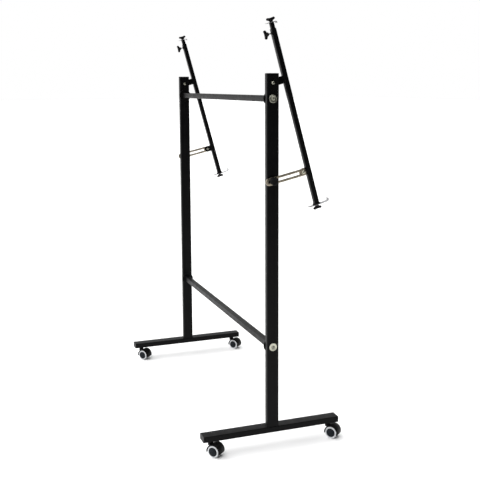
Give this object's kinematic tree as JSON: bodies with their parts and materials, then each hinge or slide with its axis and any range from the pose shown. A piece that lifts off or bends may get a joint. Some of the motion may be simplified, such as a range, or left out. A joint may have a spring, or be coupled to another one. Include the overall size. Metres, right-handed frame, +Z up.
{
  "type": "mobile panel stand",
  "caption": "Mobile stand of two uprights on castered feet joined by crossbars, with tilting telescopic arms that hold a flat panel between curled hooks.",
  "frame": {"origin": "on the floor, midway between the two uprights, under the crossbars", "axes": "+Z up, +X to the right along the crossbars, -Y towards the side the arms and the panel are on"},
  "size_m": [1.3243, 0.6093, 1.7328],
  "materials": {
    "upright_left": "black powder coat, fine orange peel",
    "upright_cap_left": "moulded black plastic, fine texture",
    "foot_left": "black powder coat, fine orange peel",
    "foot_cap_left_front": "moulded dark grey plastic",
    "foot_cap_left_rear": "moulded dark grey plastic",
    "hinge_pin_left": "zinc plated, faint yellow tint",
    "upright_right": "black powder coat, fine orange peel",
    "upright_cap_right": "moulded black plastic, fine texture",
    "foot_right": "black powder coat, fine orange peel",
    "foot_cap_right_front": "moulded dark grey plastic",
    "foot_cap_right_rear": "moulded dark grey plastic",
    "hinge_pin_right": "zinc plated, faint yellow tint",
    "crossbar_upper": "black powder coat, fine orange peel",
    "crossbar_screw_upper_left": "zinc plated, faint yellow tint",
    "crossbar_washer_upper_left": "zinc plated, faint yellow tint",
    "crossbar_screw_upper_right": "zinc plated, faint yellow tint",
    "crossbar_washer_upper_right": "zinc plated, faint yellow tint",
    "crossbar_lower": "black powder coat, fine orange peel",
    "crossbar_screw_lower_left": "zinc plated, faint yellow tint",
    "crossbar_washer_lower_left": "zinc plated, faint yellow tint",
    "crossbar_screw_lower_right": "zinc plated, faint yellow tint",
    "crossbar_washer_lower_right": "zinc plated, faint yellow tint",
    "arm_tube_left": "black powder coat, fine orange peel",
    "arm_plug_left": "moulded black plastic, fine texture",
    "stay_rivet_left": "zinc plated, faint yellow tint",
    "stay_left": "zinc plated, faint yellow tint",
    "stay_knob_left": "moulded black plastic, fine texture",
    "arm_extension_left": "black powder coat, fine orange peel",
    "extension_knob_left": "moulded black plastic, fine texture",
    "top_hook_left": "bright zinc plated strip",
    "top_hook_knob_left": "moulded black plastic, fine texture",
    "bottom_hook_left": "bright zinc plated strip",
    "bottom_hook_knob_left": "moulded black plastic, fine texture",
    "caster_body_left_front": "moulded black plastic, fine texture",
    "caster_axle_left_front": "zinc plated, faint yellow tint",
    "caster_wheel_a_left_front": "grey tyre on a blue-black hub",
    "caster_wheel_b_left_front": "grey tyre on a blue-black hub",
    "caster_body_left_rear": "moulded black plastic, fine texture",
    "caster_axle_left_rear": "zinc plated, faint yellow tint",
    "caster_wheel_a_left_rear": "grey tyre on a blue-black hub",
    "caster_wheel_b_left_rear": "grey tyre on a blue-black hub",
    "arm_tube_right": "black powder coat, fine orange peel",
    "arm_plug_right": "moulded black plastic, fine texture",
    "stay_rivet_right": "zinc plated, faint yellow tint",
    "stay_right": "zinc plated, faint yellow tint",
    "stay_knob_right": "moulded black plastic, fine texture",
    "arm_extension_right": "black powder coat, fine orange peel",
    "extension_knob_right": "moulded black plastic, fine texture",
    "top_hook_right": "bright zinc plated strip",
    "top_hook_knob_right": "moulded black plastic, fine texture",
    "bottom_hook_right": "bright zinc plated strip",
    "bottom_hook_knob_right": "moulded black plastic, fine texture",
    "caster_body_right_front": "moulded black plastic, fine texture",
    "caster_axle_right_front": "zinc plated, faint yellow tint",
    "caster_wheel_a_right_front": "grey tyre on a blue-black hub",
    "caster_wheel_b_right_front": "grey tyre on a blue-black hub",
    "caster_body_right_rear": "moulded black plastic, fine texture",
    "caster_axle_right_rear": "zinc plated, faint yellow tint",
    "caster_wheel_a_right_rear": "grey tyre on a blue-black hub",
    "caster_wheel_b_right_rear": "grey tyre on a blue-black hub"
  },
  "bodies": {
    "frame": {"upright_left": "upright_left", "upright_cap_left": "upright_cap_left", "foot_left": "foot_left", "foot_cap_left_front": "foot_cap_left_front", "foot_cap_left_rear": "foot_cap_left_rear", "hinge_pin_left": "hinge_pin_left", "upright_right": "upright_right", "upright_cap_right": "upright_cap_right", "foot_right": "foot_right", "foot_cap_right_front": "foot_cap_right_front", "foot_cap_right_rear": "foot_cap_right_rear", "hinge_pin_right": "hinge_pin_right", "crossbar_upper": "crossbar_upper", "crossbar_screw_upper_left": "crossbar_screw_upper_left", "crossbar_washer_upper_left": "crossbar_washer_upper_left", "crossbar_screw_upper_right": "crossbar_screw_upper_right", "crossbar_washer_upper_right": "crossbar_washer_upper_right", "crossbar_lower": "crossbar_lower", "crossbar_screw_lower_left": "crossbar_screw_lower_left", "crossbar_washer_lower_left": "crossbar_washer_lower_left", "crossbar_screw_lower_right": "crossbar_screw_lower_right", "crossbar_washer_lower_right": "crossbar_washer_lower_right"},
    "arm_left": {"arm_tube_left": "arm_tube_left", "arm_plug_left": "arm_plug_left", "stay_rivet_left": "stay_rivet_left"},
    "stay_left": {"stay_left": "stay_left"},
    "stay_clamp_left": {"stay_knob_left": "stay_knob_left"},
    "extension_left": {"arm_extension_left": "arm_extension_left"},
    "extension_lock_left": {"extension_knob_left": "extension_knob_left"},
    "top_hook_left": {"top_hook_left": "top_hook_left"},
    "top_knob_left": {"top_hook_knob_left": "top_hook_knob_left"},
    "bottom_hook_left": {"bottom_hook_left": "bottom_hook_left"},
    "bottom_knob_left": {"bottom_hook_knob_left": "bottom_hook_knob_left"},
    "caster_left_front": {"caster_body_left_front": "caster_body_left_front", "caster_axle_left_front": "caster_axle_left_front"},
    "wheel_a_left_front": {"caster_wheel_a_left_front": "caster_wheel_a_left_front"},
    "wheel_b_left_front": {"caster_wheel_b_left_front": "caster_wheel_b_left_front"},
    "caster_left_rear": {"caster_body_left_rear": "caster_body_left_rear", "caster_axle_left_rear": "caster_axle_left_rear"},
    "wheel_a_left_rear": {"caster_wheel_a_left_rear": "caster_wheel_a_left_rear"},
    "wheel_b_left_rear": {"caster_wheel_b_left_rear": "caster_wheel_b_left_rear"},
    "arm_right": {"arm_tube_right": "arm_tube_right", "arm_plug_right": "arm_plug_right", "stay_rivet_right": "stay_rivet_right"},
    "stay_right": {"stay_right": "stay_right"},
    "stay_clamp_right": {"stay_knob_right": "stay_knob_right"},
    "extension_right": {"arm_extension_right": "arm_extension_right"},
    "extension_lock_right": {"extension_knob_right": "extension_knob_right"},
    "top_hook_right": {"top_hook_right": "top_hook_right"},
    "top_knob_right": {"top_hook_knob_right": "top_hook_knob_right"},
    "bottom_hook_right": {"bottom_hook_right": "bottom_hook_right"},
    "bottom_knob_right": {"bottom_hook_knob_right": "bottom_hook_knob_right"},
    "caster_right_front": {"caster_body_right_front": "caster_body_right_front", "caster_axle_right_front": "caster_axle_right_front"},
    "wheel_a_right_front": {"caster_wheel_a_right_front": "caster_wheel_a_right_front"},
    "wheel_b_right_front": {"caster_wheel_b_right_front": "caster_wheel_b_right_front"},
    "caster_right_rear": {"caster_body_right_rear": "caster_body_right_rear", "caster_axle_right_rear": "caster_axle_right_rear"},
    "wheel_a_right_rear": {"caster_wheel_a_right_rear": "caster_wheel_a_right_rear"},
    "wheel_b_right_rear": {"caster_wheel_b_right_rear": "caster_wheel_b_right_rear"}
  },
  "joints": [
    {"name": "tilt_left", "type": "hinge", "parent": "frame", "child": "arm_left", "pos_m": [-0.6225, -0.00023, 1.48158], "axis": [-1, 0, 0], "range_deg": [-13, 2.5]},
    {"name": "stay_swing_left", "type": "hinge", "parent": "arm_left", "child": "stay_left", "pos_m": [-0.6225, -0.12933, 1.13149], "axis": [-1, 0, 0], "range_deg": [-3, 11]},
    {"name": "clamp_turn_left", "type": "hinge", "parent": "frame", "child": "stay_clamp_left", "pos_m": [-0.6225, 0, 1.1015], "axis": [-1, 0, 0], "continuous": true},
    {"name": "extension_slide_left", "type": "slide", "parent": "arm_left", "child": "extension_left", "axis": [0, 0.2656, 0.9641], "range_m": [0, 0.4]},
    {"name": "lock_turn_left", "type": "hinge", "parent": "arm_left", "child": "extension_lock_left", "pos_m": [-0.6225, 0.01476, 1.66592], "axis": [0, 0.9641, -0.2656], "continuous": true},
    {"name": "top_hook_slide_left", "type": "slide", "parent": "extension_left", "child": "top_hook_left", "axis": [0, -0.9641, 0.2656], "range_m": [-0.008, 0.008]},
    {"name": "top_knob_turn_left", "type": "hinge", "parent": "extension_left", "child": "top_knob_left", "pos_m": [-0.6225, 0.00267, 1.7124], "axis": [0, 0.2656, 0.9641], "continuous": true},
    {"name": "bottom_hook_slide_left", "type": "slide", "parent": "arm_left", "child": "bottom_hook_left", "axis": [0, -0.9641, 0.2656], "range_m": [-0.012, 0.012]},
    {"name": "bottom_knob_turn_left", "type": "hinge", "parent": "arm_left", "child": "bottom_knob_left", "pos_m": [-0.6225, -0.19477, 0.99559], "axis": [0, -0.2656, -0.9641], "continuous": true},
    {"name": "caster_swivel_left_front", "type": "hinge", "parent": "frame", "child": "caster_left_front", "pos_m": [-0.61, -0.26, 0.062], "axis": [0, 0, 1], "continuous": true},
    {"name": "wheel_spin_a_left_front", "type": "hinge", "parent": "caster_left_front", "child": "wheel_a_left_front", "pos_m": [-0.62635, -0.27472, 0.025], "axis": [0.6691, -0.7431, 0], "continuous": true},
    {"name": "wheel_spin_b_left_front", "type": "hinge", "parent": "caster_left_front", "child": "wheel_b_left_front", "pos_m": [-0.62635, -0.27472, 0.025], "axis": [0.6691, -0.7431, 0], "continuous": true},
    {"name": "caster_swivel_left_rear", "type": "hinge", "parent": "frame", "child": "caster_left_rear", "pos_m": [-0.61, 0.26, 0.062], "axis": [0, 0, 1], "continuous": true},
    {"name": "wheel_spin_a_left_rear", "type": "hinge", "parent": "caster_left_rear", "child": "wheel_a_left_rear", "pos_m": [-0.62635, 0.24528, 0.025], "axis": [0.6691, -0.7431, 0], "continuous": true},
    {"name": "wheel_spin_b_left_rear", "type": "hinge", "parent": "caster_left_rear", "child": "wheel_b_left_rear", "pos_m": [-0.62635, 0.24528, 0.025], "axis": [0.6691, -0.7431, 0], "continuous": true},
    {"name": "tilt_right", "type": "hinge", "parent": "frame", "child": "arm_right", "pos_m": [0.6225, -0.00023, 1.48158], "axis": [-1, 0, 0], "range_deg": [-13, 2.5]},
    {"name": "stay_swing_right", "type": "hinge", "parent": "arm_right", "child": "stay_right", "pos_m": [0.6225, -0.12933, 1.13149], "axis": [-1, 0, 0], "range_deg": [-3, 11]},
    {"name": "clamp_turn_right", "type": "hinge", "parent": "frame", "child": "stay_clamp_right", "pos_m": [0.6225, 0, 1.1015], "axis": [1, 0, 0], "continuous": true},
    {"name": "extension_slide_right", "type": "slide", "parent": "arm_right", "child": "extension_right", "axis": [0, 0.2656, 0.9641], "range_m": [0, 0.4]},
    {"name": "lock_turn_right", "type": "hinge", "parent": "arm_right", "child": "extension_lock_right", "pos_m": [0.6225, 0.01476, 1.66592], "axis": [0, 0.9641, -0.2656], "continuous": true},
    {"name": "top_hook_slide_right", "type": "slide", "parent": "extension_right", "child": "top_hook_right", "axis": [0, -0.9641, 0.2656], "range_m": [-0.008, 0.008]},
    {"name": "top_knob_turn_right", "type": "hinge", "parent": "extension_right", "child": "top_knob_right", "pos_m": [0.6225, 0.00267, 1.7124], "axis": [0, 0.2656, 0.9641], "continuous": true},
    {"name": "bottom_hook_slide_right", "type": "slide", "parent": "arm_right", "child": "bottom_hook_right", "axis": [0, -0.9641, 0.2656], "range_m": [-0.012, 0.012]},
    {"name": "bottom_knob_turn_right", "type": "hinge", "parent": "arm_right", "child": "bottom_knob_right", "pos_m": [0.6225, -0.19477, 0.99559], "axis": [0, -0.2656, -0.9641], "continuous": true},
    {"name": "caster_swivel_right_front", "type": "hinge", "parent": "frame", "child": "caster_right_front", "pos_m": [0.635, -0.26, 0.062], "axis": [0, 0, 1], "continuous": true},
    {"name": "wheel_spin_a_right_front", "type": "hinge", "parent": "caster_right_front", "child": "wheel_a_right_front", "pos_m": [0.61865, -0.27472, 0.025], "axis": [0.6691, -0.7431, 0], "continuous": true},
    {"name": "wheel_spin_b_right_front", "type": "hinge", "parent": "caster_right_front", "child": "wheel_b_right_front", "pos_m": [0.61865, -0.27472, 0.025], "axis": [0.6691, -0.7431, 0], "continuous": true},
    {"name": "caster_swivel_right_rear", "type": "hinge", "parent": "frame", "child": "caster_right_rear", "pos_m": [0.635, 0.26, 0.062], "axis": [0, 0, 1], "continuous": true},
    {"name": "wheel_spin_a_right_rear", "type": "hinge", "parent": "caster_right_rear", "child": "wheel_a_right_rear", "pos_m": [0.61865, 0.24528, 0.025], "axis": [0.6691, -0.7431, 0], "continuous": true},
    {"name": "wheel_spin_b_right_rear", "type": "hinge", "parent": "caster_right_rear", "child": "wheel_b_right_rear", "pos_m": [0.61865, 0.24528, 0.025], "axis": [0.6691, -0.7431, 0], "continuous": true}
  ],
  "couplings": [
    {"joint": "stay_swing_left", "follows": "tilt_left", "ratio": -0.8055},
    {"joint": "stay_swing_right", "follows": "tilt_right", "ratio": -0.8055}
  ]
}
